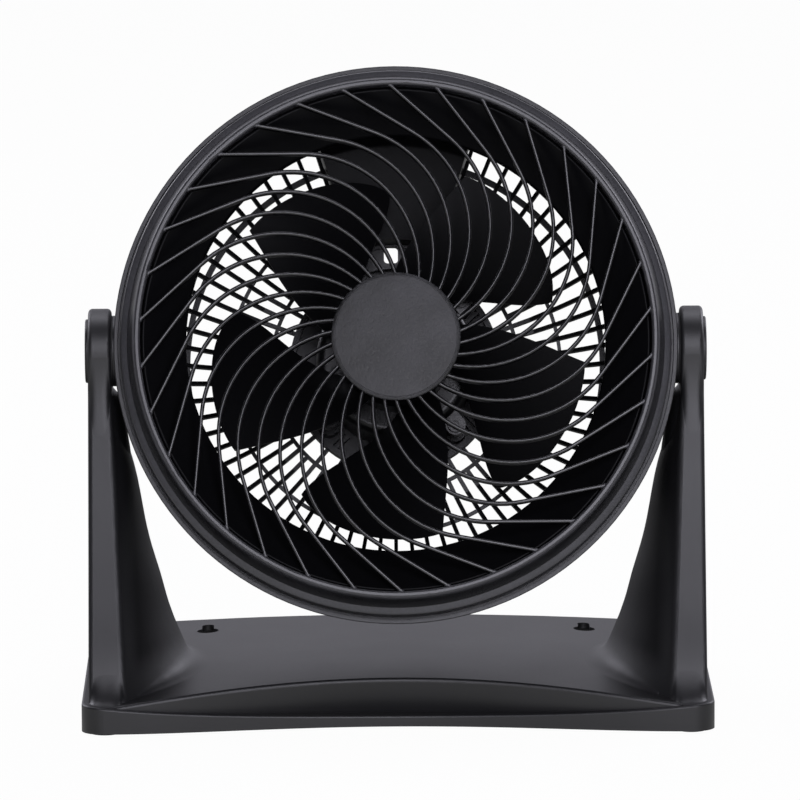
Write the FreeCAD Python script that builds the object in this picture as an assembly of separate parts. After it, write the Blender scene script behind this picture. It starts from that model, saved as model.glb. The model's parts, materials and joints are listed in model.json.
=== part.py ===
import FreeCAD, Part
import math
import os

# Floor fan: a round head that tilts between the two arms of a moulded stand.
# Millimetres, +Z up, the front faces -Y, origin on the floor under the middle of the base.
# Head pieces are drawn level, with Y as the depth behind the front lip and the fan axis
# on Y, and are then tilted up about the pivot into the rest position.

# Whole fan
pivot_height = 162.0
pivot_setback = -8.0
pivot_depth = 38.0
head_tilt = 17.7

# Clearances that many pieces share
overrun = 1.0
running_gap = 0.05
slip_gap = 0.2

# Stand: base
base_width = 283.5
base_depth = 176.0
base_corner = 10.0
base_hollow = 15.0
base_wall = 2.6
wall_lean = 8.0
skirt_proud = 2.2
skirt_end_height = 14.0
skirt_middle_height = 6.0
skirt_round = 1.0
deck_front_height = 22.4
deck_front_fall = 12.0
deck_rear_height = 22.8
deck_rear_fall = 5.0
deck_round = 1.5
rib_thick = 2.0
rib_drop = 9.0
rib_spacing = 46.0
rib_count = 3
keyhole_spacing = 174.0
keyhole_y = 58.0
keyhole_head_radius = 5.0
keyhole_slot_radius = 2.75
keyhole_slot_length = 11.0

# Stand: feet
foot_radius = 7.0
foot_drop = 1.0
foot_recess = 1.2
foot_boss_wall = 1.5
foot_boss_height = 7.0
foot_boss_inset = 10.5

# Stand: arms
arm_gap = 257.0
arm_top_thick = 10.5
arm_top_radius = 19.2
arm_foot_half = 74.0
arm_foot_out = -0.4
arm_foot_bulge = 46.0
arm_foot_strip = 6.0
arm_round = 2.0
arm_wall = 2.6
# Height up to the pivot, spread of the sides and inward bulge, from foot to pivot
arm_station_shares = [
    (0.05, 1.00, 0.87),
    (0.115, 0.92, 0.765),
    (0.16, 0.87, 0.695),
    (0.25, 0.75, 0.565),
    (0.36, 0.60, 0.455),
    (0.53, 0.39, 0.30),
    (0.69, 0.21, 0.19),
    (0.80, 0.09, 0.062),
    (0.89, 0.00, 0.00),
    (1.00, 0.00, 0.00),
]
arm_hollow_stations = 7

# Pivot
trunnion_radius = 16.0
stub_radius = 7.0
washer_thick = 0.45
pivot_cheek = 7.0
pivot_screw_head_radius = 9.0
pivot_screw_head = 2.0
pivot_screw_radius = 2.2
pivot_screw_length = 14.0
pivot_screw_socket = 1.9
counterbore_radius = 11.0
pivot_cap_radius = 14.4
pivot_cap_rise = 1.4
pivot_cap_wall = 1.2
pivot_cap_skirt = 1.4

# Housing ring
band_radius = 127.4
band_front = 21.0
band_rear = 55.0
band_rear_radius = 122.4
band_wall = 1.9
web_depth = 22.6
web_thick = 2.4
throat_radius = 94.5
throat_depth = 18.0
throat_lip = 2.6
funnel_wall = 2.0
funnel_front = 5.0
boss_radius = 4.0
boss_circle = 116.4
boss_rib_thick = 2.0
boss_start_angle = 47.5
rear_screw_count = 4

# Front guard
lip_radius = 115.0
lip_wall = 2.9
lip_crest = 1.2
guard_seat_gap = 0.4
flange_gap = 1.3
flange_wall = 2.2
flange_slope = 1.2
flange_round = 1.2
ridge_radius = 121.0
ridge_depth = 13.0
bar_count = 34
bar_width = 1.7
bar_depth = 4.0
bar_front = 0.6
bar_round = 0.75
bar_arc_radius = 52.3
bar_turn = 127.2
bar_bite = 1.4
hub_radius = 29.0
hub_front = -2.6
hub_back = 5.0
hub_wall = 1.6
hub_floor = 2.0
cap_recess = 1.2
cap_thick = 1.8
cap_round = 1.0
cap_overhang = 0.5

# Rear guard
guard_back = 100.0
guard_rim_depth = 4.0
guard_rim_inner = 112.4
guard_spigot = 4.0
guard_bend_radius = 98.0
guard_bend_depth = 84.0
guard_flat_radius = 66.0
rear_rib_count = 72
rear_rib_width = 1.7
rear_rib_depth = 4.0
ring_a_radius = 95.0
ring_a_width = 2.6
ring_a_back = 85.5
ring_b_radius = 76.0
ring_b_back = 96.0
ring_c_radius = 57.0
ring_c_back = 99.0
ring_thin_width = 1.6
hoop_depth = 2.8
motor_plate_proud = 0.6
motor_plate_radius = 48.5
motor_plate_thick = 2.6
motor_plate_hole = 33.0
plate_fin_thick = 1.3
plate_fin_inner = 37.5
plate_fin_outer = 46.5
plate_fin_height = 6.0
plate_fin_places = [-9.4, -6.6, 6.6, 9.4]
control_half_angle = 19.0
bridge_vent_width = 6.4
bridge_vent_height = 7.4
bridge_vent_circle = 53.1
bridge_vent_shift = -1.5
bridge_vent_round = 1.6

# Rear guard screws
rear_screw_radius = 1.6
rear_screw_head_radius = 3.2
rear_screw_head = 1.8
rear_screw_length = 14.0
screw_socket_share = 0.45

# Motor
shaft_radius = 4.0
shaft_front = 34.0
stator_front = 72.0
stator_thick = 17.0
stator_radius = 36.0
rotor_core_radius = 16.0
rotor_end_ring = 3.0
air_gap = 0.4
slot_count = 4
slot_circle = 24.5
slot_radius = 4.6
winding_inner = 18.5
winding_outer = 30.5
winding_height = 6.0
winding_round = 2.5
bracket_wall = 2.2
bracket_height = 8.8
bracket_boss_radius = 10.5
bracket_boss_height = 6.2
bracket_window_count = 4
bracket_window_radius = 5.4
bracket_window_circle = 16.4
lug_circle = 40.8
lug_radius = 4.6
lug_thick = 5.0
bearing_radius = 7.0
bearing_length = 10.0
motor_screw_count = 4
motor_screw_radius = 1.9
motor_screw_head_radius = 3.6
motor_screw_head = 2.4
motor_screw_angle = 42.0
motor_cover_radius = 46.0
motor_cover_wall = 2.0
motor_cover_rise = 9.0

# Fan blade
blade_count = 5
blade_hub_radius = 25.0
blade_hub_front = 41.0
blade_hub_rear = 62.0
blade_hub_wall = 2.4
blade_hub_dome = 3.0
blade_boss_radius = 8.0
blade_boss_rear = 56.0
blade_tip_radius = 88.0
blade_lead_tip_radius = 81.0
blade_front = 42.0
blade_rear = 64.0
blade_root_rear = 58.0
blade_thick = 2.4
blade_lead_angle = 204.0
blade_lead_sweep = 40.5
blade_lead_bow = 10.0
blade_trail_angle = 243.5
blade_trail_sweep = 31.5
blade_trail_bow = 4.5
blade_camber_share = 0.35
blade_lead_round = 5.0
blade_trail_round = 2.0
blade_round_power = 6
blade_stations = 9
blade_nut_radius = 7.5
blade_nut_length = 6.0
blade_nut_dome = 2.5
thrust_radius = 6.8
thrust_thick = 0.8

# Control box, switch and knob
control_inner_radius = 58.0
control_outer_radius = 117.0
control_front = 82.0
control_shoulder_radius = 100.0
control_shoulder_depth = 74.0
control_rim_depth = 61.0
control_wall = 2.0
control_round = 3.0
panel_thick = 2.0
switch_circle = 70.0
switch_width = 18.0
switch_depth = 13.0
switch_neck_radius = 4.5
switch_neck = 4.5
switch_shaft_radius = 3.0
switch_shaft_length = 6.5
switch_nut_radius = 6.5
switch_nut_thick = 1.8
knob_radius = 11.0
knob_height = 5.8
knob_floor = 2.2
knob_wall = 1.6
knob_round = 1.2
knob_grip_count = 12
knob_grip_radius = 1.4
gland_radius = 4.0
gland_bore = 2.6
gland_length = 9.0
gland_flange = 1.6
gland_flange_radius = 5.2
gland_circle = 69.0
gland_offset = 14.5

# Places worked out from the sizes above
arm_inner_x = arm_gap / 2
arm_outer_x = arm_inner_x + arm_top_thick
stub_end = arm_inner_x + pivot_cheek + slip_gap / 2
guard_outer_radius = band_radius - band_wall - flange_gap
stator_rear = stator_front + stator_thick
motor_plate_back = guard_back + motor_plate_proud
motor_plate_front = motor_plate_back - motor_plate_thick
origin = FreeCAD.Vector(0, 0, 0)
fan_axis = FreeCAD.Vector(0, 1, 0)
left_to_right = FreeCAD.Vector(1, 0, 0)


def vec(x, y, z):
    return FreeCAD.Vector(x, y, z)


def rounded_wire(corners, point):
    """Closed wire through corners (a, b, radius), with the radius limited by the sides."""
    longest_reach_share = 0.48
    edges = []
    starts = []
    count = len(corners)
    for index in range(count):
        a, b, radius = corners[index]
        here = vec(a, b, 0)
        back = vec(*corners[index - 1][:2], 0) - here
        ahead = vec(*corners[(index + 1) % count][:2], 0) - here
        half = back.getAngle(ahead) / 2
        reach = min(radius / math.tan(half), longest_reach_share * min(back.Length, ahead.Length))
        back.normalize()
        ahead.normalize()
        bisector = (back + ahead).normalize() if reach > 0 else back
        swing = reach / math.cos(half) - reach * math.tan(half)
        starts.append((here + back * reach, here + bisector * swing, here + ahead * reach, reach))
    for index in range(count):
        first, middle, last, reach = starts[index]
        following = starts[(index + 1) % count][0]
        if reach > 0:
            edges.append(Part.Arc(point(first), point(middle), point(last)).toShape())
        edges.append(Part.makeLine(point(last), point(following)))
    return Part.Wire(edges)


def spin(corners, angle=360):
    """Solid of revolution about the fan axis from corners (radius, depth, rounding)."""
    return Part.Face(rounded_wire(corners, lambda p: vec(p.x, p.y, 0))).revolve(origin, fan_axis, angle)


def turned(shape, angle):
    """Copy turned about the fan axis, counter-clockwise seen from the front."""
    copy = shape.copy()
    copy.rotate(origin, fan_axis, -angle)
    return copy


def polar(radius, angle, depth):
    return vec(radius * math.cos(math.radians(angle)), depth, radius * math.sin(math.radians(angle)))


def rod(radius, start, end, at=(0, 0)):
    """Cylinder along the depth axis, centred on the point at = (x, z)."""
    return Part.makeCylinder(radius, end - start, vec(at[0], start, at[1]), fan_axis)


def tube(outer, inner, start, end, at=(0, 0)):
    return rod(outer, start, end, at).cut(rod(inner, start - overrun, end + overrun, at))


def cross_rod(radius, start, end, y, z):
    """Cylinder along X on the pivot side of the fan."""
    return Part.makeCylinder(radius, end - start, vec(start, y, z), left_to_right)


def ring_of(shape, count, first=0.0):
    return [turned(shape, first + step * 360 / count) for step in range(count)]


def mirrored(shape):
    return shape.mirror(origin, left_to_right)


def both_sides(shape):
    return Part.makeCompound([shape, mirrored(shape)])


def joined(shapes):
    return shapes[0].multiFuse(shapes[1:]).removeSplitter()


def set_head(shape):
    """Moves a head piece from its drawing position to the tilted rest position."""
    copy = shape.copy()
    copy.translate(vec(0, -pivot_depth, 0))
    copy.rotate(origin, left_to_right, -head_tilt)
    copy.translate(vec(0, pivot_setback, pivot_height))
    return copy


def base_outline(inset, height, hollow):
    """Level outline of the base, drawn in by inset, with its front edge hollowed."""
    half = base_width / 2 - inset
    deep = base_depth / 2 - inset
    corner = max(base_corner - inset, inset / base_corner)
    side = half - corner
    end = deep - corner
    diagonal = corner * math.sqrt(0.5)
    middle_pull = 16 / 6

    def arc(cx, cy, sx, sy, from_side):
        tip_a = vec(cx + sx * corner, cy, height)
        tip_b = vec(cx, cy + sy * corner, height)
        first, last = (tip_a, tip_b) if from_side else (tip_b, tip_a)
        return Part.Arc(first, vec(cx + sx * diagonal, cy + sy * diagonal, height), last).toShape()

    front = Part.BezierCurve()
    front.setPoles([
        vec(-side, -deep, height),
        vec(-side / 2, -deep, height),
        vec(0, hollow * middle_pull - deep, height),
        vec(side / 2, -deep, height),
        vec(side, -deep, height),
    ])
    edges = [
        front.toShape(),
        arc(side, -end, 1, -1, False),
        Part.makeLine(vec(half, -end, height), vec(half, end, height)),
        arc(side, end, 1, 1, True),
        Part.makeLine(vec(side, deep, height), vec(-side, deep, height)),
        arc(-side, end, -1, 1, False),
        Part.makeLine(vec(-half, end, height), vec(-half, -end, height)),
        arc(-side, -end, -1, -1, True),
    ]
    return Part.Wire(edges)


def base_prism(inset, bottom, top):
    return Part.Face(base_outline(inset, bottom, base_hollow)).extrude(vec(0, 0, top - bottom))


def leaning_block(inset, bottom):
    """Block under the deck whose hollowed front wall leans back towards the floor."""
    top = deck_rear_height + overrun
    lean = wall_lean * (top - bottom) / (top - foot_drop)
    low = base_outline(inset, bottom, base_hollow + lean)
    return Part.makeLoft([low, base_outline(inset, top, base_hollow)], True, True)


def arch_wire(y, end_height, middle_height):
    """Upright outline across the base with an arched top."""
    half = base_width / 2 + overrun
    left = vec(-half, y, end_height)
    right = vec(half, y, end_height)
    return Part.Wire([
        Part.makeLine(vec(-half, y, -overrun), vec(half, y, -overrun)),
        Part.makeLine(vec(half, y, -overrun), right),
        Part.Arc(right, vec(0, y, middle_height), left).toShape(),
        Part.makeLine(left, vec(-half, y, -overrun)),
    ])


def arch_solid(front_end, front_middle, rear_end, rear_middle):
    front = arch_wire(-base_depth / 2 - overrun, front_end, front_middle)
    rear = arch_wire(base_depth / 2 + overrun, rear_end, rear_middle)
    return Part.makeLoft([front, rear], True, True)


def deck_solid(drop):
    front = deck_front_height - drop
    rear = deck_rear_height - drop
    return arch_solid(front - deck_front_fall, front, rear - deck_rear_fall, rear)


def round_top_edges(shape, radius, bottom):
    """Rounds the outline of an arched top, whose faces look upward."""
    body = shape.Solids[0]
    edges = []
    for edge in body.Edges:
        if edge.BoundBox.ZMin <= bottom + radius:
            continue
        faces = body.ancestorsOfType(edge, Part.Face)
        lifts = [abs(face.normalAt(*face.Surface.parameter(edge.CenterOfGravity)).z) for face in faces]
        if len(lifts) == 2 and max(lifts) > math.sqrt(0.5) > min(lifts):
            edges.append(edge)
    return body.makeFillet(radius, edges)


def arm_section(shares, inset):
    """Level section of the right arm: flat outside, narrow front and rear, bulging inside."""
    height_share, spread_share, bulge_share = shares
    height = pivot_height * height_share
    half = arm_top_radius + (arm_foot_half - arm_top_radius) * spread_share
    outside = arm_outer_x + arm_foot_out * spread_share
    edge = outside - arm_top_thick - arm_foot_strip * spread_share
    inside = arm_inner_x - arm_foot_bulge * bulge_share
    half -= inset
    outside -= inset
    edge += inset
    inside += inset
    rounding = arm_round if inset == 0 else arm_round / 2
    front = pivot_setback - half
    rear = pivot_setback + half
    pull = vec(2 * inside - edge, pivot_setback, height)
    corner_front = vec(edge, front, height)
    corner_rear = vec(edge, rear, height)
    in_front = corner_front + (pull - corner_front).normalize() * rounding
    in_rear = corner_rear + (pull - corner_rear).normalize() * rounding

    def curve(*poles):
        bezier = Part.BezierCurve()
        bezier.setPoles(list(poles))
        return bezier.toShape()

    strip_front = vec(edge + rounding, front, height)
    strip_rear = vec(edge + rounding, rear, height)
    out_front = vec(outside - rounding, front, height)
    out_rear = vec(outside - rounding, rear, height)
    side_front = vec(outside, front + rounding, height)
    side_rear = vec(outside, rear - rounding, height)
    return Part.Wire([
        Part.makeLine(strip_front, out_front),
        curve(out_front, vec(outside, front, height), side_front),
        Part.makeLine(side_front, side_rear),
        curve(side_rear, vec(outside, rear, height), out_rear),
        Part.makeLine(out_rear, strip_rear),
        curve(strip_rear, corner_rear, in_rear),
        curve(in_rear, pull, in_front),
        curve(in_front, corner_front, strip_front),
    ])


def arm_solid():
    """Right arm: a trumpet-shaped post, straight by the pivot, with a half-round top."""
    sections = [arm_section(shares, 0) for shares in arm_station_shares]
    post = Part.makeLoft(sections[:-1], True, False)
    straight = Part.makeLoft(sections[-2:], True, True)
    top = cross_rod(arm_top_radius, arm_inner_x, arm_outer_x, pivot_setback, pivot_height)
    top = top.makeFillet(arm_round, [edge for edge in top.Edges if edge.Closed])
    reach = arm_top_radius + overrun
    upper = Part.makeBox(base_width, 2 * reach, reach, vec(0, pivot_setback - reach, pivot_height))
    return post.multiFuse([straight, top.common(upper)])


def arm_hollow():
    stations = arm_station_shares[:arm_hollow_stations]
    return Part.makeLoft([arm_section(shares, arm_wall) for shares in stations], True, False)


def keyhole(x):
    """Cutter for a round screw-head hole that runs back into a slot for the shank."""
    head = Part.makeCylinder(keyhole_head_radius, pivot_height, vec(x, keyhole_y, 0))
    slot = Part.makeBox(2 * keyhole_slot_radius, keyhole_slot_length, pivot_height,
                        vec(x - keyhole_slot_radius, keyhole_y, 0))
    end = Part.makeCylinder(keyhole_slot_radius, pivot_height,
                            vec(x, keyhole_y + keyhole_slot_length, 0))
    return head.multiFuse([slot, end])


def foot_places():
    x = base_width / 2 - foot_boss_inset
    y = base_depth / 2 - foot_boss_inset
    return [(-x, -y), (x, -y), (-x, y), (x, y)]


def stand():
    """Moulded shell: skirted base with an arched deck and two hollow arms."""
    upper = leaning_block(skirt_proud, foot_drop).common(deck_solid(0))
    upper = round_top_edges(upper, deck_round, foot_drop)
    skirt_top = arch_solid(skirt_end_height, skirt_middle_height, skirt_end_height, skirt_middle_height)
    skirt = base_prism(0, foot_drop, pivot_height).common(skirt_top)
    skirt = round_top_edges(skirt, skirt_round, foot_drop)
    arm = arm_solid()
    shell = upper.multiFuse([skirt, arm, mirrored(arm)])

    cavity = leaning_block(skirt_proud + base_wall, -overrun).common(deck_solid(base_wall))
    skirt_cavity = base_prism(base_wall, -overrun, skirt_middle_height - base_wall)
    hollow = arm_hollow()
    shell = shell.cut(cavity).cut(skirt_cavity).cut(both_sides(hollow))

    ribs = []
    for index in range(rib_count):
        x = (index - (rib_count - 1) / 2) * rib_spacing
        ribs.append(Part.makeBox(rib_thick, base_depth, pivot_height,
                                 vec(x - rib_thick / 2, -base_depth / 2, rib_drop)))
    ribs = [rib.common(cavity) for rib in ribs]
    boss_radius_foot = foot_radius + slip_gap + foot_boss_wall
    bosses = [Part.makeCylinder(boss_radius_foot, foot_boss_height, vec(x, y, foot_drop))
              for x, y in foot_places()]
    shell = shell.multiFuse(ribs + bosses)

    cuts = [keyhole(-keyhole_spacing / 2), keyhole(keyhole_spacing / 2)]
    for x, y in foot_places():
        cuts.append(Part.makeCylinder(foot_radius + slip_gap, foot_recess, vec(x, y, foot_drop)))
    bore = cross_rod(stub_radius + running_gap, 0, base_width, pivot_setback, pivot_height)
    well = cross_rod(counterbore_radius, arm_inner_x + pivot_cheek, base_width, pivot_setback, pivot_height)
    seat = cross_rod(pivot_cap_radius + slip_gap, arm_outer_x, base_width, pivot_setback, pivot_height)
    cuts += [bore, well, seat, mirrored(bore), mirrored(well), mirrored(seat)]
    for cut in cuts:
        shell = shell.cut(cut)
    return shell


def rubber_feet():
    pads = []
    for x, y in foot_places():
        pads.append(Part.makeCylinder(foot_radius, foot_drop + foot_recess, vec(x, y, 0)))
    return Part.makeCompound(pads)


def pivot_washers():
    """Friction washers on the inner faces of the arms, round the housing's stubs."""
    ring = cross_rod(trunnion_radius, arm_inner_x - washer_thick, arm_inner_x, pivot_setback, pivot_height)
    hole = cross_rod(stub_radius + slip_gap, 0, base_width, pivot_setback, pivot_height)
    return both_sides(ring.cut(hole))


def pivot_cap():
    """Domed cap over the right pivot screw, with a skirt that plugs the arm's well."""
    def about_pivot(corners):
        face = Part.Face(rounded_wire(corners, lambda p: vec(p.y, p.x, 0)))
        shape = face.revolve(origin, left_to_right, 360)
        shape.translate(vec(0, pivot_setback, pivot_height))
        return shape

    inner = counterbore_radius - slip_gap - pivot_cap_skirt
    return about_pivot([
        (0, arm_outer_x + pivot_cap_rise, 0),
        (pivot_cap_radius, arm_outer_x + pivot_cap_rise, pivot_cap_rise),
        (pivot_cap_radius, arm_outer_x, 0),
        (counterbore_radius - slip_gap, arm_outer_x, 0),
        (counterbore_radius - slip_gap, arm_outer_x - pivot_cap_wall, 0),
        (inner, arm_outer_x - pivot_cap_wall, 0),
        (inner, arm_outer_x + pivot_cap_rise - pivot_cap_wall, 0),
        (0, arm_outer_x + pivot_cap_rise - pivot_cap_wall, 0),
    ])


def pivot_screws():
    """Flange-headed screws that hold the arms on the housing's stubs, drawn about the pivot."""
    head = cross_rod(pivot_screw_head_radius, stub_end, stub_end + pivot_screw_head, pivot_depth, 0)
    shank = cross_rod(pivot_screw_radius, stub_end - pivot_screw_length, stub_end, pivot_depth, 0)
    socket = Part.makeBox(pivot_screw_head, 2 * pivot_screw_socket, 2 * pivot_screw_socket,
                          vec(stub_end + pivot_screw_head / 2, pivot_depth - pivot_screw_socket,
                              -pivot_screw_socket))
    return both_sides(head.fuse(shank).cut(socket))


def band_inner(depth):
    """Inner radius of the tapered band."""
    fall = (band_radius - band_rear_radius) / (band_rear - band_front)
    return band_radius - band_wall - fall * (depth - band_front)


def housing_ring():
    """Outer band, web, funnel and throat in one moulding, with a trunnion on each side."""
    seat = lip_radius - guard_seat_gap
    shell = turned(spin([
        (band_radius, band_front, band_wall / 4),
        (band_rear_radius, band_rear, 0),
        (band_inner(band_rear), band_rear, 0),
        (band_inner(web_depth + web_thick), web_depth + web_thick, band_wall / 2),
        (seat - funnel_wall, web_depth + web_thick, funnel_wall / 2),
        (seat - funnel_wall, funnel_front + 2 * funnel_wall, funnel_wall),
        (throat_radius + funnel_wall / 2, throat_depth + funnel_wall, funnel_wall),
        (throat_radius + funnel_wall / 2, throat_depth + throat_lip, 0),
        (throat_radius, throat_depth + throat_lip, 0),
        (throat_radius, throat_depth, funnel_wall),
        (seat, funnel_front, funnel_wall / 2),
        (seat, web_depth, 0),
        (band_inner(web_depth), web_depth, 0),
        (band_inner(band_front), band_front, 0),
    ]), 90)
    trunnion_face = arm_inner_x - washer_thick - slip_gap
    root = band_rear_radius - 2 * band_wall
    trunnion = cross_rod(trunnion_radius, root, trunnion_face, pivot_depth, 0)
    stub = cross_rod(stub_radius, root, stub_end, pivot_depth, 0)
    pilot = cross_rod(pivot_screw_radius, stub_end - pivot_screw_length, base_width, pivot_depth, 0)
    room = turned(spin([
        (0, 0, 0),
        (band_inner(0) + band_wall / 4, 0, 0),
        (band_inner(guard_back) + band_wall / 4, guard_back, 0),
        (0, guard_back, 0),
    ]), 90)
    trunnion = trunnion.fuse(stub).cut(room.cut(cross_rod(stub_radius, 0, base_width, pivot_depth, 0)))
    boss_end = band_rear - guard_spigot
    boss_start = web_depth + web_thick / 2
    boss = rod(boss_radius, boss_start, boss_end, (boss_circle, 0))
    rib = Part.makeBox(band_radius - boss_circle, boss_end - boss_start, boss_rib_thick,
                       vec(boss_circle, boss_start, -boss_rib_thick / 2)).common(room)
    hole = rod(rear_screw_radius, boss_end - rear_screw_length, boss_end + overrun, (boss_circle, 0))
    bosses = ring_of(boss.fuse(rib), rear_screw_count, boss_start_angle)
    holes = ring_of(hole, rear_screw_count, boss_start_angle)
    shell = shell.multiFuse([trunnion, mirrored(trunnion)] + bosses)
    return shell.cut(Part.makeCompound([pilot, mirrored(pilot)])).cut(Part.makeCompound(holes))


def swirl_bar():
    """One guard bar: an arc that starts at the fan axis, then a straight run to the lip."""
    half = bar_width / 2
    start_turn = 2 * math.asin((hub_radius - bar_bite) / (2 * bar_arc_radius))
    end_turn = math.radians(bar_turn)
    end_radius = 2 * bar_arc_radius * math.sin(end_turn / 2)
    along = end_radius * math.cos(end_turn / 2)
    run = math.sqrt(along ** 2 + (lip_radius + bar_bite) ** 2 - end_radius ** 2) - along

    def on_arc(turn, offset):
        radius = bar_arc_radius + offset
        return vec(radius * math.sin(turn), bar_front, bar_arc_radius - radius * math.cos(turn))

    def past_arc(offset):
        return on_arc(end_turn, offset) + vec(math.cos(end_turn), 0, math.sin(end_turn)) * run

    def arc(first, last, offset):
        return Part.Arc(on_arc(first, offset), on_arc((first + last) / 2, offset),
                        on_arc(last, offset)).toShape()

    outline = Part.Wire([
        arc(start_turn, end_turn, half),
        Part.makeLine(on_arc(end_turn, half), past_arc(half)),
        Part.makeLine(past_arc(half), past_arc(-half)),
        Part.makeLine(past_arc(-half), on_arc(end_turn, -half)),
        arc(end_turn, start_turn, -half),
        Part.makeLine(on_arc(start_turn, -half), on_arc(start_turn, half)),
    ])
    bar = Part.Face(outline).extrude(vec(0, bar_depth, 0))
    front_edges = [edge for edge in bar.Edges
                   if edge.BoundBox.YMax < bar_front + bar_depth / 2 and edge.Length > 2 * bar_width]
    return bar.makeFillet(bar_round, front_edges)


def front_guard():
    """Swirl grille: rounded lip ring, curved bars and a recessed hub, moulded in one."""
    crest = lip_radius + lip_wall
    ring = spin([
        (lip_radius, 0, lip_crest),
        (crest, 0, lip_crest),
        (ridge_radius, ridge_depth, 0),
        (guard_outer_radius, ridge_depth + flange_slope, flange_round),
        (guard_outer_radius, web_depth, 0),
        (guard_outer_radius - flange_wall, web_depth, 0),
        (guard_outer_radius - flange_wall, ridge_depth + flange_wall + flange_slope, flange_round / 2),
        (crest, ridge_depth + flange_wall, 0),
        (crest, web_depth, 0),
        (lip_radius, web_depth, 0),
    ])
    rim = hub_radius - cap_overhang
    cap_seat = hub_front + cap_thick
    hub = spin([
        (0, cap_seat + cap_recess, 0),
        (rim - hub_wall, cap_seat + cap_recess, 0),
        (rim - hub_wall, cap_seat, 0),
        (rim, cap_seat, 0),
        (rim, hub_back, 0),
        (rim - hub_wall, hub_back, 0),
        (rim - hub_wall, cap_seat + cap_recess + hub_floor, hub_wall / 2),
        (0, cap_seat + cap_recess + hub_floor, 0),
    ])
    return joined([ring, hub] + ring_of(swirl_bar(), bar_count))


def guard_cap():
    """Plain disc over the guard's hub, with a spigot that fits the hub's recess."""
    seat = hub_front + cap_thick
    spigot = hub_radius - cap_overhang - hub_wall - slip_gap
    return spin([
        (0, hub_front, 0),
        (hub_radius, hub_front, cap_round),
        (hub_radius, seat, 0),
        (spigot, seat, 0),
        (spigot, seat + cap_recess, 0),
        (0, seat + cap_recess, 0),
    ])


def guard_curve(radius_in, inward):
    """Side outline of a rear rib from the rim to radius_in, as a closed face in radius and depth."""
    rim = band_rear_radius - band_wall / 2
    rim_depth = band_rear + guard_rim_depth / 2

    def side(shift):
        start = vec(rim - shift, rim_depth, 0)
        bend = vec(guard_bend_radius - shift * math.sqrt(0.5), guard_bend_depth - shift * math.sqrt(0.5), 0)
        flat = vec(guard_flat_radius, guard_back - shift, 0)
        return start, bend, flat, vec(radius_in, guard_back - shift, 0)

    out_start, out_bend, out_flat, out_end = side(0)
    in_start, in_bend, in_flat, in_end = side(inward)
    return Part.Face(Part.Wire([
        Part.Arc(out_start, out_bend, out_flat).toShape(),
        Part.makeLine(out_flat, out_end),
        Part.makeLine(out_end, in_end),
        Part.makeLine(in_end, in_flat),
        Part.Arc(in_flat, in_bend, in_start).toShape(),
        Part.makeLine(in_start, out_start),
    ]))


def rear_guard():
    """Domed basket of radial ribs and rings round the motor plate."""
    spigot = band_rear_radius - band_wall - slip_gap
    rim = spin([
        (band_rear_radius, band_rear, 0),
        (band_rear_radius, band_rear + guard_rim_depth, guard_rim_depth / 3),
        (guard_rim_inner, band_rear + guard_rim_depth, 0),
        (guard_rim_inner, band_rear - guard_spigot, 0),
        (spigot, band_rear - guard_spigot, 0),
        (spigot, band_rear, 0),
    ])

    def rib(radius_in):
        plate = guard_curve(radius_in, rear_rib_depth).extrude(vec(0, 0, rear_rib_width))
        plate.translate(vec(0, 0, -rear_rib_width / 2))
        return plate

    long_rib = rib(motor_plate_radius - rear_rib_width)
    short_rib = rib(ring_c_radius)
    ribs = []
    for index in range(rear_rib_count):
        angle = index * 360 / rear_rib_count
        if abs(angle - 90) > control_half_angle:
            ribs.append(turned(long_rib if index % 2 == 0 else short_rib, angle))

    def hoop(radius, width, back):
        return tube(radius + width / 2, radius - width / 2, back - hoop_depth, back)

    hoops = [hoop(ring_a_radius, ring_a_width, ring_a_back), hoop(ring_b_radius, ring_thin_width, ring_b_back),
             hoop(ring_c_radius, ring_thin_width, ring_c_back)]
    plate = tube(motor_plate_radius, motor_plate_hole, motor_plate_front, motor_plate_back)
    wall = tube(motor_plate_radius, motor_plate_radius - motor_plate_thick,
                guard_back - 2 * rear_rib_depth, motor_plate_back)
    lug_back = stator_rear + lug_thick
    post = rod(lug_radius, lug_back, motor_plate_front + motor_plate_thick / 2, (lug_circle, 0))
    hole = rod(motor_screw_radius, lug_back - overrun, guard_back + overrun, (lug_circle, 0))
    fins = [Part.makeBox(plate_fin_outer - plate_fin_inner, plate_fin_height + motor_plate_thick / 2,
                         plate_fin_thick,
                         vec(plate_fin_inner, motor_plate_front - plate_fin_height, place - plate_fin_thick / 2))
            for place in plate_fin_places]
    mounts = ring_of(Part.makeCompound([post] + fins), motor_screw_count, motor_screw_angle)
    bridge_inner = motor_plate_radius - rear_rib_width
    bridge = turned(spin([
        (bridge_inner, motor_plate_front, 0),
        (control_inner_radius, motor_plate_front, 0),
        (control_inner_radius, motor_plate_back, 0),
        (bridge_inner, motor_plate_back, 0),
    ], 2 * control_half_angle), 90 + control_half_angle)
    pieces = [plate, wall, bridge] + hoops + ribs
    for mount in mounts:
        pieces += mount.Solids
    guard = rim.multiFuse(pieces)
    opening = control_space(slip_gap)
    screw_hole = rod(rear_screw_radius, 0, guard_back, (boss_circle, 0))
    holes = ring_of(hole, motor_screw_count, motor_screw_angle)
    holes += ring_of(screw_hole, rear_screw_count, boss_start_angle)
    return guard.cut(Part.makeCompound(holes)).cut(opening).cut(bridge_vent())


def bridge_vent():
    """Cutter for the small window between the motor plate and the control box."""
    left = bridge_vent_shift - bridge_vent_width / 2
    right = bridge_vent_shift + bridge_vent_width / 2
    low = bridge_vent_circle - bridge_vent_height / 2
    high = bridge_vent_circle + bridge_vent_height / 2
    corners = [(x, z, bridge_vent_round) for x, z in [(left, low), (right, low), (right, high), (left, high)]]
    outline = rounded_wire(corners, lambda p: vec(p.x, 0, p.y))
    return Part.Face(outline).extrude(vec(0, 2 * guard_back, 0))


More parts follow.
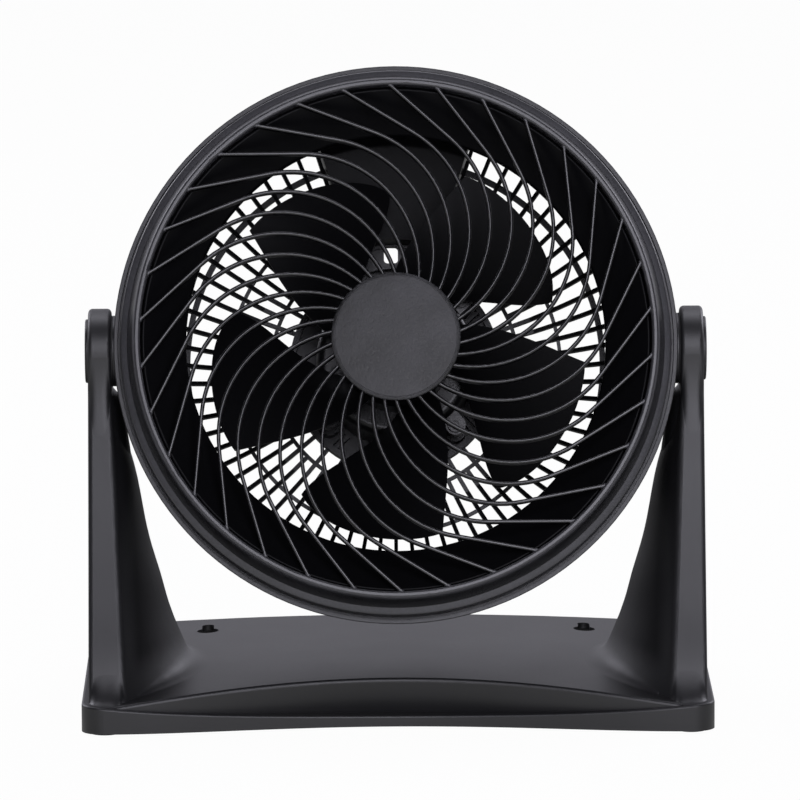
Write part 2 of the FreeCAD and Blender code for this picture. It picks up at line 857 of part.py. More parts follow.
def rear_guard_screws():
    seat = band_rear + guard_rim_depth
    end = band_rear - guard_spigot - rear_screw_length + overrun
    screw = rod(rear_screw_radius, end, seat, (boss_circle, 0))
    head = rod(rear_screw_head_radius, seat, seat + rear_screw_head, (boss_circle, 0))
    socket = rod(rear_screw_head_radius * screw_socket_share, seat + rear_screw_head / 2,
                 seat + 2 * rear_screw_head, (boss_circle, 0))
    return Part.makeCompound(ring_of(screw.fuse(head).cut(socket), rear_screw_count, boss_start_angle))


def control_space(grow):
    """Sector at the top of the rear guard that the control box fills, grown on all sides."""
    half_angle = control_half_angle + math.degrees(grow / control_outer_radius)
    sector = spin([
        (control_inner_radius - grow, control_front - grow, 0),
        (control_shoulder_radius, control_shoulder_depth - grow, control_round),
        (control_outer_radius + grow, control_rim_depth - grow, control_round),
        (control_outer_radius + grow, control_shoulder_depth - control_round, control_round),
        (control_shoulder_radius + grow, guard_back + panel_thick + grow, control_round),
        (control_inner_radius - grow, guard_back + panel_thick + grow, control_round / 2),
    ], 2 * half_angle)
    return turned(sector, 90 + half_angle)


def control_panel_outline(grow):
    inner = control_inner_radius + control_wall - grow
    outer = control_shoulder_radius - control_round - control_wall + grow
    half_angle = control_half_angle - math.degrees((control_wall - grow) / inner)
    plate = spin([
        (inner, guard_back, 0),
        (outer, guard_back, 0),
        (outer, guard_back + panel_thick, 0),
        (inner, guard_back + panel_thick, 0),
    ], 2 * half_angle)
    return turned(plate, 90 + half_angle)


def control_box():
    """Switch housing: a hollow sector in the rear guard, open at the back for its panel."""
    inner = control_inner_radius + control_wall
    deep = math.degrees(control_wall / control_inner_radius)
    half_angle = control_half_angle - deep
    cavity = turned(spin([
        (inner, control_front + control_wall, 0),
        (control_shoulder_radius - control_wall, control_shoulder_depth + control_wall, control_round),
        (control_outer_radius - control_wall, control_rim_depth + 3 * control_wall, 0),
        (control_outer_radius - control_wall, control_shoulder_depth - control_round, control_round),
        (control_shoulder_radius - control_round - control_wall, guard_back, 0),
        (inner, guard_back, 0),
    ], 2 * half_angle), 90 + half_angle)
    gland_hole = rod(gland_radius, guard_back - gland_length, guard_back + 2 * panel_thick, gland_place())
    return control_space(0).cut(cavity).cut(control_panel_outline(slip_gap)).cut(gland_hole)


def gland_place():
    return (gland_offset, math.sqrt(gland_circle ** 2 - gland_offset ** 2))


def control_panel():
    shaft_hole = rod(switch_neck_radius + slip_gap, 0, 2 * guard_back, (0, switch_circle))
    gland_hole = rod(gland_radius, 0, 2 * guard_back, gland_place())
    return control_panel_outline(0).cut(shaft_hole).cut(gland_hole)


def cord_gland():
    """Flanged bush in the control panel where a cord would enter."""
    seat = guard_back + panel_thick
    body = rod(gland_radius, seat - gland_length, seat, gland_place())
    flange = rod(gland_flange_radius, seat, seat + gland_flange, gland_place())
    bore = rod(gland_bore, 0, 2 * guard_back, gland_place())
    return body.fuse(flange).cut(bore)


def speed_switch():
    """Rotary switch behind the control panel, with its threaded neck through the panel."""
    at = (0, switch_circle)
    box = Part.makeBox(switch_width, switch_depth, switch_width,
                       vec(-switch_width / 2, guard_back - switch_depth, switch_circle - switch_width / 2))
    box = box.makeFillet(control_round / 2, [edge for edge in box.Edges if abs(edge.tangentAt(0).y) > 0.5])
    neck = rod(switch_neck_radius, guard_back, guard_back + panel_thick + switch_neck, at)
    bore = rod(switch_shaft_radius + running_gap, guard_back - switch_depth / 2, 2 * guard_back, at)
    return box.fuse(neck).cut(bore)


def switch_nut():
    at = (0, switch_circle)
    seat = guard_back + panel_thick
    points = [polar(switch_nut_radius, 60 * step, seat) + vec(0, 0, switch_circle) for step in range(7)]
    nut = Part.Face(Part.makePolygon(points)).extrude(vec(0, switch_nut_thick, 0))
    return nut.cut(rod(switch_neck_radius, 0, 2 * guard_back, at))


def knob_base():
    return guard_back + panel_thick + switch_neck - switch_nut_thick


def switch_shaft():
    at = (0, switch_circle)
    front = guard_back - switch_depth / 2 + slip_gap
    end = guard_back + panel_thick + switch_neck + switch_shaft_length - knob_floor
    return rod(switch_shaft_radius, front, end, at)


def speed_knob():
    """Dial with finger grooves round the side and a pointer groove in the face."""
    front = knob_base()
    back = front + knob_height
    end = guard_back + panel_thick + switch_neck + switch_shaft_length - knob_floor
    knob = spin([
        (0, front + switch_neck, 0),
        (knob_radius - 2 * knob_wall, front + switch_neck, 0),
        (knob_radius - 2 * knob_wall, front, 0),
        (knob_radius, front, 0),
        (knob_radius, back + knob_floor, knob_round),
        (0, back + knob_floor, 0),
    ])
    socket = rod(switch_shaft_radius, 0, end)
    grip = rod(knob_grip_radius, front - overrun, back + 2 * knob_floor, (knob_radius + knob_grip_radius / 2, 0))
    pointer = Part.makeBox(knob_wall, knob_floor, knob_radius,
                           vec(-knob_wall / 2, back + knob_floor / 2, 0))
    knob = knob.cut(Part.makeCompound(ring_of(grip, knob_grip_count))).cut(socket).cut(pointer)
    knob.translate(vec(0, 0, switch_circle))
    return knob


def motor_bracket(face, direction):
    """Die-cast end bracket: dish with a bearing boss, vent windows and screw lugs."""
    def depth(rise):
        return face + direction * rise

    top = bracket_height + bracket_boss_height
    dish = spin([
        (bearing_radius, depth(top), 0),
        (bracket_boss_radius, depth(top), bracket_wall / 2),
        (bracket_boss_radius, depth(bracket_height), bracket_wall / 2),
        (stator_radius, depth(bracket_height), 2 * bracket_wall),
        (stator_radius, depth(0), 0),
        (stator_radius - bracket_wall, depth(0), 0),
        (stator_radius - bracket_wall, depth(bracket_height - bracket_wall), bracket_wall),
        (bracket_boss_radius, depth(bracket_height - bracket_wall), 0),
        (bracket_boss_radius, depth(top - bearing_length), 0),
        (bearing_radius, depth(top - bearing_length), 0),
    ])
    low, high = sorted([depth(0), depth(lug_thick)])
    lug = rod(lug_radius, low, high, (lug_circle, 0))
    tie = Part.makeBox(lug_circle - stator_radius + bracket_wall, high - low, 2 * lug_radius,
                       vec(stator_radius - bracket_wall, low, -lug_radius))
    tie = tie.cut(rod(stator_radius - bracket_wall, low - overrun, high + overrun))
    hole = rod(motor_screw_radius, low - overrun, high + overrun, (lug_circle, 0))
    low, high = sorted([depth(bracket_height / 2), depth(top)])
    window = rod(bracket_window_radius, low, high, (bracket_window_circle, 0))
    bracket = dish.multiFuse(ring_of(lug.fuse(tie), motor_screw_count, motor_screw_angle))
    bracket = bracket.cut(Part.makeCompound(ring_of(hole, motor_screw_count, motor_screw_angle)))
    windows = ring_of(window, bracket_window_count, motor_screw_angle + 180 / bracket_window_count)
    return bracket.cut(Part.makeCompound(windows))


def motor_front_bracket():
    return motor_bracket(stator_front, -1)


def motor_rear_bracket():
    return motor_bracket(stator_rear, 1)


def motor_stator():
    core = tube(stator_radius, rotor_core_radius + air_gap, stator_front, stator_rear)
    slot = rod(slot_radius, stator_front - overrun, stator_rear + overrun, (slot_circle, 0))
    return core.cut(Part.makeCompound(ring_of(slot, slot_count, motor_screw_angle)))


def motor_winding():
    """End turns at both faces of the stator, joined through its slots."""
    def end_turns(start, end):
        return spin([
            (winding_inner, start, winding_round),
            (winding_outer, start, winding_round),
            (winding_outer, end, winding_round),
            (winding_inner, end, winding_round),
        ])

    bundle = rod(slot_radius, stator_front - winding_round, stator_rear + winding_round, (slot_circle, 0))
    return joined([end_turns(stator_front - winding_height, stator_front),
                   end_turns(stator_rear, stator_rear + winding_height)]
                  + ring_of(bundle, slot_count, motor_screw_angle))


def bearing(face, direction):
    top = face + direction * (bracket_height + bracket_boss_height)
    low, high = sorted([top, top - direction * bearing_length])
    return tube(bearing_radius, shaft_radius + running_gap, low, high)


def front_bearing():
    return bearing(stator_front, -1)


def rear_bearing():
    return bearing(stator_rear, 1)


def motor_screws():
    seat = stator_front - lug_thick
    shank = rod(motor_screw_radius, seat, guard_back, (lug_circle, 0))
    head = rod(motor_screw_head_radius, seat - motor_screw_head, seat, (lug_circle, 0))
    socket = rod(motor_screw_head_radius * screw_socket_share, seat - 2 * motor_screw_head,
                 seat - motor_screw_head / 2, (lug_circle, 0))
    screw = shank.fuse(head).cut(socket)
    return Part.makeCompound(ring_of(screw, motor_screw_count, motor_screw_angle))


def motor_cover():
    """Dished cover over the rear bracket, seated on the motor plate."""
    back = motor_plate_back + motor_cover_rise
    inner = motor_cover_radius - motor_cover_wall
    return spin([
        (0, back, 0),
        (motor_cover_radius, back, motor_cover_rise / 2),
        (motor_cover_radius, motor_plate_back, 0),
        (inner, motor_plate_back, 0),
        (inner, back - motor_cover_wall, motor_cover_rise / 2 - motor_cover_wall),
        (0, back - motor_cover_wall, 0),
    ])


def motor_shaft():
    return rod(shaft_radius, shaft_front, stator_rear + bracket_height + bracket_boss_height)


def rotor_core():
    body = tube(rotor_core_radius, shaft_radius, stator_front, stator_rear)
    front = tube(rotor_core_radius - rotor_end_ring, shaft_radius, stator_front - rotor_end_ring, stator_front)
    rear = tube(rotor_core_radius - rotor_end_ring, shaft_radius, stator_rear, stator_rear + rotor_end_ring)
    return joined([body, front, rear])


def blade():
    """One swept and twisted blade, from its inlet edge at the rear to its outlet edge in front."""
    root = blade_hub_radius - blade_hub_wall / 2
    rows = []
    for row in range(blade_stations):
        outward = row / (blade_stations - 1)
        points = []
        for column in range(blade_stations):
            across = column / (blade_stations - 1)
            tip = blade_lead_tip_radius + (blade_tip_radius - blade_lead_tip_radius) * across
            tip -= blade_lead_round * (1 - across) ** blade_round_power
            tip -= blade_trail_round * across ** blade_round_power
            radius = root + (tip - root) * outward
            bow = 4 * outward * (1 - outward)
            lead = blade_lead_angle - blade_lead_sweep * outward - blade_lead_bow * bow
            trail = blade_trail_angle - blade_trail_sweep * outward - blade_trail_bow * bow
            rise = across + blade_camber_share * across * (1 - across)
            inlet = blade_root_rear + (blade_rear - blade_root_rear) * outward
            depth = inlet + (blade_front - inlet) * rise
            points.append(polar(radius, lead + (trail - lead) * across, depth))
        rows.append(points)
    surface = Part.BSplineSurface()
    surface.interpolate(rows)
    return surface.toShape().extrude(vec(0, -blade_thick, 0))


def fan_blade():
    """Five-bladed fan with a cup-shaped hub and a bore for the shaft."""
    hub = spin([
        (shaft_radius, blade_hub_front, 0),
        (blade_hub_radius - blade_hub_dome, blade_hub_front, 0),
        (blade_hub_radius, blade_hub_front + blade_hub_dome, blade_hub_dome),
        (blade_hub_radius, blade_hub_rear, 0),
        (blade_hub_radius - blade_hub_wall, blade_hub_rear, 0),
        (blade_hub_radius - blade_hub_wall, blade_hub_front + blade_hub_dome + blade_hub_wall, blade_hub_wall),
        (blade_boss_radius, blade_hub_front + blade_hub_dome + blade_hub_wall, blade_hub_wall),
        (blade_boss_radius, blade_boss_rear, 0),
        (shaft_radius, blade_boss_rear, 0),
    ])
    return joined([hub] + ring_of(blade(), blade_count))


def blade_nut():
    """Domed nut that holds the fan on the shaft."""
    front = blade_hub_front - blade_nut_length
    return spin([
        (0, front - blade_nut_dome, 0),
        (blade_nut_radius, front - blade_nut_dome, blade_nut_dome),
        (blade_nut_radius, blade_hub_front, 0),
        (shaft_radius, blade_hub_front, 0),
        (shaft_radius, shaft_front, 0),
        (0, shaft_front, 0),
    ])


def thrust_washer():
    return tube(thrust_radius, shaft_radius, blade_boss_rear, blade_boss_rear + thrust_thick)


# Nodes of the stand stay where they are drawn, and those of the head are tilted.
stand_nodes = {
    "stand": stand,
    "rubber_feet": rubber_feet,
    "pivot_washers": pivot_washers,
    "right_pivot_cap": pivot_cap,
    "left_pivot_cap": lambda: mirrored(pivot_cap()),
}
head_nodes = {
    "housing_ring": housing_ring,
    "pivot_screws": pivot_screws,
    "front_guard": front_guard,
    "guard_cap": guard_cap,
    "rear_guard": rear_guard,
    "rear_guard_screws": rear_guard_screws,
    "control_box": control_box,
    "control_panel": control_panel,
    "cord_gland": cord_gland,
    "speed_switch": speed_switch,
    "switch_nut": switch_nut,
    "switch_shaft": switch_shaft,
    "speed_knob": speed_knob,
    "motor_front_bracket": motor_front_bracket,
    "motor_rear_bracket": motor_rear_bracket,
    "motor_stator": motor_stator,
    "motor_winding": motor_winding,
    "front_bearing": front_bearing,
    "rear_bearing": rear_bearing,
    "motor_screws": motor_screws,
    "motor_cover": motor_cover,
    "motor_shaft": motor_shaft,
    "rotor_core": rotor_core,
    "fan_blade": fan_blade,
    "blade_nut": blade_nut,
    "thrust_washer": thrust_washer,
}

os.makedirs("parts", exist_ok=True)
for name, make in stand_nodes.items():
    make().exportStep(f"parts/{name}.step")
for name, make in head_nodes.items():
    set_head(make()).exportStep(f"parts/{name}.step")
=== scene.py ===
import json
import math

import bmesh
import bpy
from mathutils import Matrix, Vector
from mathutils.bvhtree import BVHTree


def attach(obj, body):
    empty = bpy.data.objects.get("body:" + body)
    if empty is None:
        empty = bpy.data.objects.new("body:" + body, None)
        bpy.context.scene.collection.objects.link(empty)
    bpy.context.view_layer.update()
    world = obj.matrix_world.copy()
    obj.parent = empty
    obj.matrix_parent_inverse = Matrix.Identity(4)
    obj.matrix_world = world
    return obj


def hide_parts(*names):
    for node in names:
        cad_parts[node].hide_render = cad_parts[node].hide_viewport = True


# Floor fan: finishes, small moulded details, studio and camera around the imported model.
# Metres, +Z up, the fan blows towards -Y.

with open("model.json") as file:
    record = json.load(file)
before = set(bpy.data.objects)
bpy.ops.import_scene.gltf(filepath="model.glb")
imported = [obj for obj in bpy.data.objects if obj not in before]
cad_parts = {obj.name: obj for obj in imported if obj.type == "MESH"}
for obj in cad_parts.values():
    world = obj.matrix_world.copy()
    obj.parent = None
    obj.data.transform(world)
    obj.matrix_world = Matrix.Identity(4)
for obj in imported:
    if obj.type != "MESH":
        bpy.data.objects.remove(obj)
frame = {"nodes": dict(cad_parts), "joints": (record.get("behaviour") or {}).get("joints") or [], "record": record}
nodes = frame["nodes"]
bpy.context.view_layer.update()
joints = {joint["name"]: joint for joint in frame["joints"]}


class Wire:
    # One shader socket. Operators on it add Math nodes.
    def __init__(self, finish, socket):
        self.finish = finish
        self.socket = socket

    def maths(self, operation, first, second):
        return self.finish.add("ShaderNodeMath", {"operation": operation}, {0: first, 1: second})

    def __add__(self, other):
        return self.maths("ADD", self, other)

    def __sub__(self, other):
        return self.maths("SUBTRACT", self, other)

    def __mul__(self, other):
        return self.maths("MULTIPLY", self, other)

    def __abs__(self):
        return self.maths("ABSOLUTE", self, 0.0)

    def __radd__(self, other):
        return self.maths("ADD", other, self)

    def __rsub__(self, other):
        return self.maths("SUBTRACT", other, self)

    def __rmul__(self, other):
        return self.maths("MULTIPLY", other, self)


class Finish:
    # A node tree with one way to add a node: its type, its settings, its sockets.
    def __init__(self, tree):
        self.tree = tree

    def add(self, kind, settings=None, sockets=None, output=0):
        node = self.tree.nodes.new(kind)
        for name, value in (settings or {}).items():
            if name == "stops":
                ramp = node.color_ramp.elements
                while len(ramp) < len(value):
                    ramp.new(1.0)
                for stop, (place, tone) in zip(ramp, value):
                    stop.position = place
                    stop.color = (tone, tone, tone, 1.0)
            else:
                setattr(node, name, value)
        for name, value in (sockets or {}).items():
            self.join(value, node.inputs[name])
        return Wire(self, node.outputs[output])

    def join(self, value, socket):
        if isinstance(value, Wire):
            self.tree.links.new(value.socket, socket)
        else:
            socket.default_value = value

    def spot(self):
        return self.add("ShaderNodeTexCoord", output="Object")

    def axis(self, vector, name):
        return self.add("ShaderNodeSeparateXYZ", None, {0: vector}, name)

    def noise(self, size, detail, rough=0.5):
        # size is the grain in metres
        sockets = {"Vector": self.spot(), "Scale": 1.0 / size, "Detail": detail, "Roughness": rough}
        return self.add("ShaderNodeTexNoise", None, sockets)

    def bump(self, look, height):
        sockets = {"Strength": look["bump"], "Distance": look["relief"], "Height": height}
        return self.add("ShaderNodeBump", None, sockets)

    def ramp(self, value, stops):
        return self.add("ShaderNodeValToRGB", {"stops": stops}, {"Fac": value})

    def blend(self, share, first, second):
        # Sockets 6 and 7 and output 2 are a Mix node's colours
        sockets = {0: share, 6: first + (1.0,), 7: second + (1.0,)}
        return self.add("ShaderNodeMix", {"data_type": "RGBA"}, sockets, 2)


def dress(finish, shader, look, paint):
    # Fixed numbers from look go on the shader, linked sockets come from paint(finish, look)
    for socket, value in look.get("fixed", {}).items():
        shader.inputs[socket].default_value = value
    for socket, value in paint(finish, look).items():
        finish.join(value, shader.inputs[socket])


def newMaterial(name, tone):
    # tone is the plain colour that stands for the material where its nodes don't show
    material = bpy.data.materials.new(name)
    material.use_nodes = True
    material.diffuse_color = tone + (1.0,)
    tree = material.node_tree
    return material, Finish(tree), tree.nodes["Principled BSDF"]


def mixOver(finish, share, shader, other):
    # Shows other in place of the material's own shader where share is 1
    own = Wire(finish, shader.outputs[0])
    mixed = finish.add("ShaderNodeMixShader", None, {0: share, 1: own, 2: other})
    finish.join(mixed, finish.tree.nodes["Material Output"].inputs["Surface"])


def surface(name, look, paint):
    material, finish, shader = newMaterial(name, look["dark"])
    dress(finish, shader, look, paint)
    return material


def zonedSurface(name, look, zoneLook, paint, zone):
    # Two finishes on one moulding: zone(finish) is 1 where zoneLook shows
    material, finish, shader = newMaterial(name, look["dark"])
    other = finish.add("ShaderNodeBsdfPrincipled")
    dress(finish, shader, look, paint)
    dress(finish, other.socket.node, zoneLook, paint)
    mixOver(finish, zone(finish), shader, other)
    return material


def headSpot(finish):
    # Object coordinates turned so that the fan axis is Y, with its middle at zero
    hinge = joints["fan_spin"]
    tilt = math.atan2(-hinge["axis"][2], hinge["axis"][1])
    sockets = {0: finish.spot(), 1: hinge["pos_m"]}
    centred = finish.add("ShaderNodeVectorMath", {"operation": "SUBTRACT"}, sockets)
    return finish.add("ShaderNodeMapping", None, {"Vector": centred, "Rotation": (tilt, 0.0, 0.0)})


def axisRadius(finish):
    # Distance from the fan axis
    sockets = {0: headSpot(finish), 1: (1.0, 0.0, 1.0)}
    flat = finish.add("ShaderNodeVectorMath", {"operation": "MULTIPLY"}, sockets)
    return finish.add("ShaderNodeVectorMath", {"operation": "LENGTH"}, {0: flat}, "Value")


# Moulded finishes

noiseMiddle = 0.5  # what noise varies about
mouldMix = {
    "cloudDetail": 3.0,
    "grainDetail": 2.0,
    "coarseDetail": 1.0,
    "cloudTone": 0.5,
    "grainTone": 0.5,
    "grainRelief": 0.6,
    "coarseRelief": 0.4,
}


def mouldedPaint(finish, look):
    cloud = finish.noise(look["cloud"], mouldMix["cloudDetail"])
    grain = finish.noise(look["grain"], mouldMix["grainDetail"])
    coarse = finish.noise(look["grain"] * look["coarse"], mouldMix["coarseDetail"])
    tone = cloud * mouldMix["cloudTone"] + grain * mouldMix["grainTone"]
    tone = (tone - noiseMiddle) * look["contrast"] + noiseMiddle
    rough = (grain - noiseMiddle) * look["roughGrain"] + (cloud - noiseMiddle) * look["roughCloud"]
    return {
        "Base Color": finish.blend(tone, look["dark"], look["light"]),
        "Roughness": look["rough"] + rough,
        "Normal": finish.bump(look, grain * mouldMix["grainRelief"] + coarse * mouldMix["coarseRelief"]),
    }


# Each look: dark and light tone, size of clouds and grain in metres, contrast between the tones,
# size of the coarse grain beside the fine one, bump and its depth, roughness and how far it varies

grainBlackLook = {
    "dark": (0.0045, 0.0045, 0.0051),
    "light": (0.0100, 0.0100, 0.0112),
    "cloud": 0.045,
    "grain": 0.00045,
    "contrast": 1.8,
    "coarse": 2.6,
    "bump": 0.35,
    "relief": 0.00006,
    "rough": 0.47,
    "roughGrain": 0.16,
    "roughCloud": 0.08,
}
guardBlackLook = {
    "dark": (0.0035, 0.0035, 0.0040),
    "light": (0.0080, 0.0080, 0.0090),
    "cloud": 0.04,
    "grain": 0.0004,
    "contrast": 1.8,
    "coarse": 2.6,
    "bump": 0.22,
    "relief": 0.00004,
    "rough": 0.29,
    "roughGrain": 0.12,
    "roughCloud": 0.08,
}
satinBlackLook = {
    "dark": (0.0018, 0.0018, 0.0021),
    "light": (0.0036, 0.0036, 0.0042),
    "cloud": 0.06,
    "grain": 0.0006,
    "contrast": 1.2,
    "coarse": 3.0,
    "bump": 0.16,
    "relief": 0.00004,
    "rough": 0.36,
    "roughGrain": 0.10,
    "roughCloud": 0.10,
    "fixed": {"Specular IOR Level": 0.06},
}
hubGreyLook = {
    "dark": (0.001, 0.001, 0.0012),
    "light": (0.0295, 0.0295, 0.0323),
    "cloud": 0.02,
    "grain": 0.0012,
    "contrast": 4.5,
    "coarse": 2.2,
    "bump": 1.0,
    "relief": 0.0002,
    "rough": 0.58,
    "roughGrain": 0.35,
    "roughCloud": 0.06,
}
# Painted highlight: the grey shown on the crests of the guard's rim
ringHighlightLook = {
    "dark": (0.030, 0.030, 0.033),
    "light": (0.074, 0.074, 0.081),
    "cloud": 0.03,
    "grain": 0.0010,
    "contrast": 2.2,
    "coarse": 2.2,
    "bump": 0.5,
    "relief": 0.00008,
    "rough": 0.48,
    "roughGrain": 0.18,
    "roughCloud": 0.08,
}
# Painted light: the housing's outer band is a lighter copy of the black plastic
bandLitLook = {
    "dark": (0.007, 0.007, 0.0078),
    "light": (0.021, 0.021, 0.0232),
    "cloud": 0.035,
    "grain": 0.0010,
    "contrast": 2.0,
    "coarse": 2.2,
    "bump": 0.5,
    "relief": 0.00008,
    "rough": 0.48,
    "roughGrain": 0.18,
    "roughCloud": 0.08,
}
# Painted shade: a darker black with weaker gloss for the arms' inner faces
armInsideLook = {
    "dark": (0.0016, 0.0016, 0.0019),
    "light": (0.0042, 0.0042, 0.0049),
    "cloud": 0.05,
    "grain": 0.00045,
    "contrast": 1.8,
    "coarse": 2.6,
    "bump": 0.35,
    "relief": 0.00006,
    "rough": 0.5,
    "roughGrain": 0.16,
    "roughCloud": 0.10,
    "fixed": {"Specular IOR Level": 0.12},
}
# Painted shade: the rear guard's black is darker than the stand's and has weaker gloss, so that it shows black
# inside the head
rearShadedLook = {
    "dark": (0.0028, 0.0028, 0.0032),
    "light": (0.0068, 0.0068, 0.0076),
    "cloud": 0.05,
    "grain": 0.00045,
    "contrast": 1.8,
    "coarse": 2.6,
    "bump": 0.3,
    "relief": 0.00005,
    "rough": 0.40,
    "roughGrain": 0.14,
    "roughCloud": 0.10,
    "fixed": {"Specular IOR Level": 0.3},
}
rubberLook = {
    "dark": (0.010, 0.010, 0.010),
    "light": (0.020, 0.020, 0.020),
    "cloud": 0.012,
    "grain": 0.0004,
    "contrast": 1.4,
    "coarse": 2.0,
    "bump": 0.5,
    "relief": 0.00005,
    "rough": 0.82,
    "roughGrain": 0.12,
    "roughCloud": 0.08,
}
nylonLook = {
    "dark": (0.50, 0.49, 0.45),
    "light": (0.64, 0.63, 0.59),
    "cloud": 0.01,
    "grain": 0.0005,
    "contrast": 1.2,
    "coarse": 2.0,
    "bump": 0.2,
    "relief": 0.00003,
    "rough": 0.5,
    "roughGrain": 0.1,
    "roughCloud": 0.06,
}
grainBlack = surface("grainBlack", grainBlackLook, mouldedPaint)
satinBlack = surface("satinBlack", satinBlackLook, mouldedPaint)
rearBlack = surface("rearBlack", rearShadedLook, mouldedPaint)
hubGrey = surface("hubGrey", hubGreyLook, mouldedPaint)
rubber = surface("rubber", rubberLook, mouldedPaint)
nylon = surface("nylon", nylonLook, mouldedPaint)


mouldZones = {
    "funnelRadius": 0.1215,
    "ringSpan": (0.1136, 0.1266),
    "ringPaintedLight": [(0.1142, 0.0), (0.1146, 1.0), (0.1152, 0.40), (0.1176, 0.40), (0.1182, 1.0),
                 (0.1187, 0.05), (0.1208, 0.05), (0.1213, 0.80), (0.1233, 0.55),
                 (0.1238, 0.3)],  # radius, share of the grey painted highlight; the rest is painted dark shade
    "boxRear": 0.032,
    "soften": 0.0008,
    "armFoot": (0.1205, 0.020),  # where the arm's inner edge starts, out from the middle and up
    "armSlope": 0.054,
    "armSoft": 0.006,
    "deckTop": 0.021,
    "deckSoft": 0.014,
}


def fade(finish, value, soften=mouldZones["soften"]):
    # 0 up to zero, 1 past the soft edge between two finishes
    settings = {"interpolation_type": "SMOOTHSTEP"}
    sockets = {"Value": value, "From Min": 0.0, "From Max": soften}
    return finish.add("ShaderNodeMapRange", settings, sockets)


def funnelShade(finish):
    # The smooth funnel and throat, painted near black with weak gloss as shade, within the grained outer band,
    # whose lighter tone is painted light
    return fade(finish, mouldZones["funnelRadius"] - axisRadius(finish))


def guardRing(finish):
    # The rim round the guard's bars: its crests are painted grey as highlights, the slope between them is painted
    # dark as shade
    start, end = mouldZones["ringSpan"]
    stops = [((radius - start) / (end - start), share) for radius, share in mouldZones["ringPaintedLight"]]
    return finish.ramp((axisRadius(finish) - start) * (1.0 / (end - start)), stops)


def boxRear(finish):
    # The back of the switch housing, which is grained as the panel in it
    return fade(finish, finish.axis(headSpot(finish), "Y") - mouldZones["boxRear"])


def armInsideShade(finish):
    # The arms' inner faces, painted darker with weaker gloss as shade, so that they show almost black
    spot = finish.spot()
    out = abs(finish.axis(spot, "X"))
    height = finish.axis(spot, "Z")
    footX, footZ = mouldZones["armFoot"]
    edge = footX + (height - footZ) * mouldZones["armSlope"]
    inside = fade(finish, edge - out, mouldZones["armSoft"])
    return inside * fade(finish, height - mouldZones["deckTop"], mouldZones["deckSoft"])


standBlack = zonedSurface("standBlack", grainBlackLook, armInsideLook, mouldedPaint, armInsideShade)
# The housing's funnel shows satinBlackLook as painted shade
housingBlack = zonedSurface("housingBlack", bandLitLook, satinBlackLook, mouldedPaint, funnelShade)
guardBlack = zonedSurface("guardBlack", guardBlackLook, ringHighlightLook, mouldedPaint, guardRing)
boxBlack = zonedSurface("boxBlack", satinBlackLook, grainBlackLook, mouldedPaint, boxRear)


# Metal finishes

castMix = {
    "detail": 3.0,
    "grainRough": 0.6,
    "cloudTone": 0.5,
    "grainTone": 0.5,
    "roughGrain": 0.2,
    "roughCloud": 0.1,
}
layerMix = {
    "bandLength": 0.314,  # metres from band to band of a wave texture at scale 1
    "bandDetail": 2.0,
    "detailScale": 1.5,
    "cloudDetail": 2.0,
    "bandTone": 0.6,
    "cloudTone": 0.4,
    "roughCloud": 0.15,
}


def castPaint(finish, look):
    cloud = finish.noise(look["cloud"], castMix["detail"])
    grain = finish.noise(look["grain"], castMix["detail"], castMix["grainRough"])
    tone = cloud * castMix["cloudTone"] + grain * castMix["grainTone"]
    rough = (grain - noiseMiddle) * castMix["roughGrain"] + (cloud - noiseMiddle) * castMix["roughCloud"]
    return {
        "Base Color": finish.blend(tone, look["dark"], look["light"]),
        "Roughness": look["rough"] + rough,
        "Normal": finish.bump(look, grain),
    }


def layeredPaint(finish, look):
    # Fine bands across the fan axis, as stacked sheets or turns of wire show at their edges
    settings = {"wave_type": "BANDS", "bands_direction": look["bands"]}
    sockets = {
        "Vector": headSpot(finish),
        "Scale": layerMix["bandLength"] / look["pitch"],
        "Distortion": look["wander"],
        "Detail": layerMix["bandDetail"],
        "Detail Scale": layerMix["detailScale"],
    }
    bands = finish.add("ShaderNodeTexWave", settings, sockets)
    cloud = finish.noise(look["cloud"], layerMix["cloudDetail"])
    tone = bands * layerMix["bandTone"] + cloud * layerMix["cloudTone"]
    return {
        "Base Color": finish.blend(tone, look["dark"], look["light"]),
        "Roughness": look["rough"] + (cloud - noiseMiddle) * layerMix["roughCloud"],
        "Normal": finish.bump(look, bands),
    }


zincLook = {
    "dark": (0.40, 0.40, 0.41),
    "light": (0.60, 0.60, 0.62),
    "cloud": 0.006,
    "grain": 0.0005,
    "bump": 0.15,
    "relief": 0.00003,
    "rough": 0.34,
    "fixed": {"Metallic": 1.0},
}
enamelLook = {
    "dark": (0.0018, 0.0018, 0.0021),
    "light": (0.0045, 0.0045, 0.0050),
    "cloud": 0.01,
    "grain": 0.0009,
    "bump": 0.4,
    "relief": 0.0001,
    "rough": 0.30,
    "fixed": {"Specular IOR Level": 0.3},
}
bronzeLook = {
    "dark": (0.36, 0.25, 0.11),
    "light": (0.52, 0.38, 0.19),
    "cloud": 0.004,
    "grain": 0.0004,
    "bump": 0.4,
    "relief": 0.00004,
    "rough": 0.45,
    "fixed": {"Metallic": 1.0},
}
laminationLook = {
    "dark": (0.07, 0.07, 0.072),
    "light": (0.22, 0.22, 0.225),
    "bands": "Y",
    "pitch": 0.0005,
    "wander": 0.2,
    "cloud": 0.008,
    "bump": 0.5,
    "relief": 0.0001,
    "rough": 0.42,
    "fixed": {"Metallic": 1.0},
}
copperLook = {
    "dark": (0.11, 0.035, 0.012),
    "light": (0.30, 0.115, 0.04),
    "bands": "Y",
    "pitch": 0.0006,
    "wander": 1.2,
    "cloud": 0.006,
    "bump": 0.9,
    "relief": 0.0003,
    "rough": 0.3,
    "fixed": {"Metallic": 0.9},
}
zincSteel = surface("zincSteel", zincLook, castPaint)
blackEnamel = surface("blackEnamel", enamelLook, castPaint)
bronze = surface("bronze", bronzeLook, castPaint)
lamination = surface("lamination", laminationLook, layeredPaint)
copper = surface("copper", copperLook, layeredPaint)

